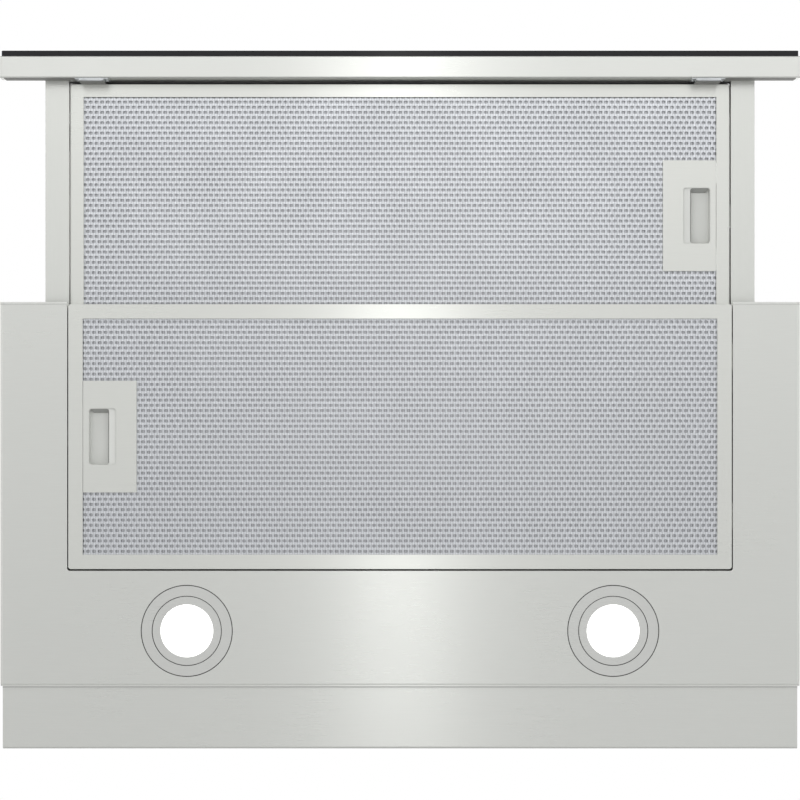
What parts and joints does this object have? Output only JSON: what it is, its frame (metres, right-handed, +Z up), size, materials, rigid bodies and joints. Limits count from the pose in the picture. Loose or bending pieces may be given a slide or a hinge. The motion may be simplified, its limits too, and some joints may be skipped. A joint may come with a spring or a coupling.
{
  "type": "telescopic range hood",
  "caption": "Slim cooker hood for a wall cabinet: sliding drawer with front bar and grease filter, rear filter, two lamps, duct collar and blower.",
  "frame": {"origin": "centre of the four cabinet screw holes, on the top face of the housing's flange", "axes": "+Z up into the cabinet, -Y towards the cook where the drawer pulls out, +X to the right seen from the front"},
  "size_m": [0.598, 0.5218, 0.225],
  "materials": {
    "brushed_steel": "brushed stainless steel, grain across the hood",
    "galvanised_steel": "bright zinc plated sheet",
    "aluminium": "plain rolled aluminium",
    "black_glass": "opaque black toughened glass, polished edge",
    "dark_plastic": "fine moulded texture",
    "pale_plastic": "satin moulded plastic",
    "rubber": "soft black rubber",
    "lamp_lens": "frosted opal lens"
  },
  "bodies": {
    "hood": {"housing": "brushed_steel", "top_plate": "galvanised_steel", "upper_casing": "galvanised_steel", "outlet_collar": "dark_plastic", "flap_pin": "galvanised_steel", "scroll_left": "dark_plastic", "scroll_right": "dark_plastic", "motor": "galvanised_steel", "motor_bracket": "galvanised_steel", "capacitor": "aluminium", "control_box": "dark_plastic", "control_box_lid": "pale_plastic", "cable_gland": "dark_plastic", "slide_channel_left": "galvanised_steel", "slide_channel_right": "galvanised_steel", "stop_bumpers": "rubber", "drawer_switch": "dark_plastic", "latch_keeper": "galvanised_steel", "lamp_bodies": "aluminium", "lamp_bezel_left": "brushed_steel", "lamp_bezel_right": "brushed_steel", "lamp_ring_left": "brushed_steel", "lamp_ring_right": "brushed_steel", "lamp_lens_left": "lamp_lens", "lamp_lens_right": "lamp_lens", "rear_spacer": "brushed_steel", "spacer_screws": "galvanised_steel", "side_clamp_left": "galvanised_steel", "side_clamp_right": "galvanised_steel", "casing_screws": "galvanised_steel"},
    "drawer": {"front_bar": "brushed_steel", "front_glass": "black_glass", "bar_end_caps": "brushed_steel", "bar_clip_left": "galvanised_steel", "bar_clip_right": "galvanised_steel", "rail_left": "brushed_steel", "rail_right": "brushed_steel", "front_crossmember": "galvanised_steel", "rear_crossmember": "brushed_steel", "drawer_glides": "pale_plastic", "drawer_filter_frame": "aluminium", "drawer_filter_mesh": "aluminium", "drawer_latch_cover": "aluminium", "button_module": "dark_plastic"},
    "drawer_latch": {"drawer_latch": "pale_plastic"},
    "rear_filter": {"rear_filter_frame": "aluminium", "rear_filter_mesh": "aluminium", "rear_latch_cover": "aluminium"},
    "rear_latch": {"rear_latch": "pale_plastic"},
    "impeller": {"impeller": "galvanised_steel", "impeller_disc": "galvanised_steel", "motor_shaft": "galvanised_steel"},
    "flap_front": {"flap_front": "pale_plastic"},
    "flap_rear": {"flap_rear": "pale_plastic"},
    "switch_plunger": {"switch_plunger": "pale_plastic"},
    "button_1": {"button_1": "pale_plastic"},
    "button_2": {"button_2": "pale_plastic"},
    "button_3": {"button_3": "pale_plastic"},
    "button_4": {"button_4": "pale_plastic"},
    "button_5": {"button_5": "pale_plastic"}
  },
  "joints": [
    {"name": "drawer_slide", "type": "slide", "parent": "hood", "child": "drawer", "axis": [0, -1, 0], "range_m": [-0.1656, 0]},
    {"name": "rear_filter_tilt", "type": "hinge", "parent": "hood", "child": "rear_filter", "pos_m": [0.248, -0.0435, -0.043], "axis": [0, -1, 0], "range_deg": [0, 45]},
    {"name": "rear_latch_slide", "type": "slide", "parent": "rear_filter", "child": "rear_latch", "axis": [1, 0, 0], "range_m": [0, 0.005], "stiffness_N_per_m": 250, "springref_m": -0.004},
    {"name": "drawer_latch_slide", "type": "slide", "parent": "drawer", "child": "drawer_latch", "axis": [-1, 0, 0], "range_m": [0, 0.005], "stiffness_N_per_m": 250, "springref_m": -0.004},
    {"name": "impeller_spin", "type": "hinge", "parent": "hood", "child": "impeller", "pos_m": [0, -0.035, 0.06], "axis": [1, 0, 0], "continuous": true},
    {"name": "flap_front_swing", "type": "hinge", "parent": "hood", "child": "flap_front", "pos_m": [0, 0.0227, 0.146], "axis": [-1, 0, 0], "range_deg": [0, 75]},
    {"name": "flap_rear_swing", "type": "hinge", "parent": "hood", "child": "flap_rear", "pos_m": [0, 0.0227, 0.146], "axis": [1, 0, 0], "range_deg": [0, 75]},
    {"name": "switch_plunger_press", "type": "slide", "parent": "hood", "child": "switch_plunger", "axis": [0, 1, 0], "range_m": [0, 0.0015], "stiffness_N_per_m": 100, "springref_m": -0.002},
    {"name": "button_1_press", "type": "slide", "parent": "drawer", "child": "button_1", "axis": [0, 1, 0], "range_m": [0, 0.002], "stiffness_N_per_m": 300, "springref_m": -0.003},
    {"name": "button_2_press", "type": "slide", "parent": "drawer", "child": "button_2", "axis": [0, 1, 0], "range_m": [0, 0.002], "stiffness_N_per_m": 300, "springref_m": -0.003},
    {"name": "button_3_press", "type": "slide", "parent": "drawer", "child": "button_3", "axis": [0, 1, 0], "range_m": [0, 0.002], "stiffness_N_per_m": 300, "springref_m": -0.003},
    {"name": "button_4_press", "type": "slide", "parent": "drawer", "child": "button_4", "axis": [0, 1, 0], "range_m": [0, 0.002], "stiffness_N_per_m": 300, "springref_m": -0.003},
    {"name": "button_5_press", "type": "slide", "parent": "drawer", "child": "button_5", "axis": [0, 1, 0], "range_m": [0, 0.002], "stiffness_N_per_m": 300, "springref_m": -0.003}
  ]
}
